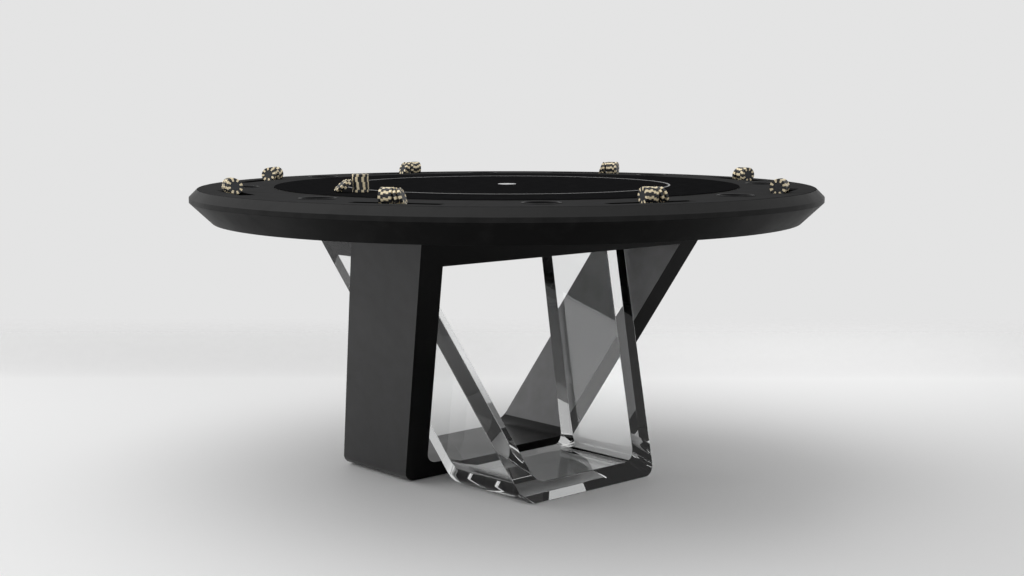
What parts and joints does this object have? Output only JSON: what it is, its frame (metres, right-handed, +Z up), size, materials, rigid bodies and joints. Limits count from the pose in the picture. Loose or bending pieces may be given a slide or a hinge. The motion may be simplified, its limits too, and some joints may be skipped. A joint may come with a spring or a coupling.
{
  "type": "poker table",
  "caption": "Round black poker table with a cloth playing surface, drop-in cup holders and chip grooves, on two crossing trapezoid frames, one lacquered and one clear.",
  "frame": {"origin": "on the floor under the table's centre", "axes": "+Z up; +X along the length of both frames; the lacquered frame stands at +Y and leans to -Y as it rises"},
  "size_m": [1.644, 1.644, 0.8087],
  "materials": {
    "black_lacquer": "black lacquer, satin gloss",
    "satin_black_rail": "fine satin black lacquer",
    "deck_wood": "black-stained plywood",
    "playing_cloth": "matte black speed cloth",
    "silver_line": "printed silver-grey line",
    "polished_steel": "polished stainless steel",
    "black_anodised": "black anodised aluminium, satin",
    "dark_steel": "black oxide",
    "clear_acrylic": "polished clear acrylic",
    "chip_composite": "fine-grained clay composite with cream edge spots",
    "felt_pad": "pressed felt"
  },
  "bodies": {
    "table": {"rim_ring": "black_lacquer", "deck_board": "deck_wood", "playfield_board": "deck_wood", "playing_cloth": "playing_cloth", "betting_line": "silver_line", "centre_medallion": "polished_steel", "rail_panel_1": "satin_black_rail", "rail_panel_2": "satin_black_rail", "rail_panel_3": "satin_black_rail", "rail_panel_4": "satin_black_rail", "rail_panel_5": "satin_black_rail", "rail_panel_6": "satin_black_rail", "rail_panel_7": "satin_black_rail", "rail_panel_8": "satin_black_rail", "black_frame_foot": "black_lacquer", "black_frame_leg_left": "black_lacquer", "black_frame_leg_right": "black_lacquer", "black_frame_head_bar": "black_lacquer", "black_frame_glide_left": "felt_pad", "black_frame_glide_right": "felt_pad", "clear_frame_foot": "clear_acrylic", "clear_frame_leg_left": "clear_acrylic", "clear_frame_leg_right": "clear_acrylic", "clear_frame_head_bar": "clear_acrylic", "clear_frame_glide_left": "felt_pad", "clear_frame_glide_right": "felt_pad", "mounting_plate": "dark_steel", "plate_screw_1": "dark_steel", "plate_screw_2": "dark_steel", "plate_screw_3": "dark_steel", "plate_screw_4": "dark_steel", "plate_screw_5": "dark_steel", "plate_screw_6": "dark_steel", "plate_screw_7": "dark_steel", "plate_screw_8": "dark_steel", "frame_bolt_1": "dark_steel", "frame_bolt_2": "dark_steel", "frame_bolt_3": "dark_steel", "frame_bolt_4": "dark_steel"},
    "cup_holder_1": {"cup_holder_1": "black_anodised"},
    "cup_holder_2": {"cup_holder_2": "black_anodised"},
    "cup_holder_3": {"cup_holder_3": "black_anodised"},
    "cup_holder_4": {"cup_holder_4": "black_anodised"},
    "cup_holder_5": {"cup_holder_5": "black_anodised"},
    "cup_holder_6": {"cup_holder_6": "black_anodised"},
    "cup_holder_7": {"cup_holder_7": "black_anodised"},
    "cup_holder_8": {"cup_holder_8": "black_anodised"},
    "chip_row_1": {"chip_row_1": "chip_composite"},
    "chip_row_2": {"chip_row_2": "chip_composite"},
    "chip_row_3": {"chip_row_3": "chip_composite"},
    "chip_row_4": {"chip_row_4": "chip_composite"},
    "chip_row_5": {"chip_row_5": "chip_composite"},
    "chip_row_6": {"chip_row_6": "chip_composite"},
    "chip_row_7": {"chip_row_7": "chip_composite"},
    "chip_row_8": {"chip_row_8": "chip_composite"},
    "chip_stack": {"chip_stack": "chip_composite"},
    "leaning_chips": {"leaning_chip_lower": "chip_composite", "leaning_chip_upper": "chip_composite"}
  },
  "joints": [
    {"name": "cup_holder_1_lift", "type": "slide", "parent": "table", "child": "cup_holder_1", "axis": [0, 0, 1], "range_m": [0, 0.12]},
    {"name": "cup_holder_2_lift", "type": "slide", "parent": "table", "child": "cup_holder_2", "axis": [0, 0, 1], "range_m": [0, 0.12]},
    {"name": "cup_holder_3_lift", "type": "slide", "parent": "table", "child": "cup_holder_3", "axis": [0, 0, 1], "range_m": [0, 0.12]},
    {"name": "cup_holder_4_lift", "type": "slide", "parent": "table", "child": "cup_holder_4", "axis": [0, 0, 1], "range_m": [0, 0.12]},
    {"name": "cup_holder_5_lift", "type": "slide", "parent": "table", "child": "cup_holder_5", "axis": [0, 0, 1], "range_m": [0, 0.12]},
    {"name": "cup_holder_6_lift", "type": "slide", "parent": "table", "child": "cup_holder_6", "axis": [0, 0, 1], "range_m": [0, 0.12]},
    {"name": "cup_holder_7_lift", "type": "slide", "parent": "table", "child": "cup_holder_7", "axis": [0, 0, 1], "range_m": [0, 0.12]},
    {"name": "cup_holder_8_lift", "type": "slide", "parent": "table", "child": "cup_holder_8", "axis": [0, 0, 1], "range_m": [0, 0.12]},
    {"name": "chip_row_1_lift", "type": "slide", "parent": "table", "child": "chip_row_1", "axis": [0, 0, 1], "range_m": [0, 0.06]},
    {"name": "chip_row_2_lift", "type": "slide", "parent": "table", "child": "chip_row_2", "axis": [0, 0, 1], "range_m": [0, 0.06]},
    {"name": "chip_row_3_lift", "type": "slide", "parent": "table", "child": "chip_row_3", "axis": [0, 0, 1], "range_m": [0, 0.06]},
    {"name": "chip_row_4_lift", "type": "slide", "parent": "table", "child": "chip_row_4", "axis": [0, 0, 1], "range_m": [0, 0.06]},
    {"name": "chip_row_5_lift", "type": "slide", "parent": "table", "child": "chip_row_5", "axis": [0, 0, 1], "range_m": [0, 0.06]},
    {"name": "chip_row_6_lift", "type": "slide", "parent": "table", "child": "chip_row_6", "axis": [0, 0, 1], "range_m": [0, 0.06]},
    {"name": "chip_row_7_lift", "type": "slide", "parent": "table", "child": "chip_row_7", "axis": [0, 0, 1], "range_m": [0, 0.06]},
    {"name": "chip_row_8_lift", "type": "slide", "parent": "table", "child": "chip_row_8", "axis": [0, 0, 1], "range_m": [0, 0.06]},
    {"name": "chip_stack_lift", "type": "slide", "parent": "table", "child": "chip_stack", "axis": [0, 0, 1], "range_m": [0, 0.06]},
    {"name": "leaning_chips_lift", "type": "slide", "parent": "table", "child": "leaning_chips", "axis": [0, 0, 1], "range_m": [0, 0.06]}
  ]
}
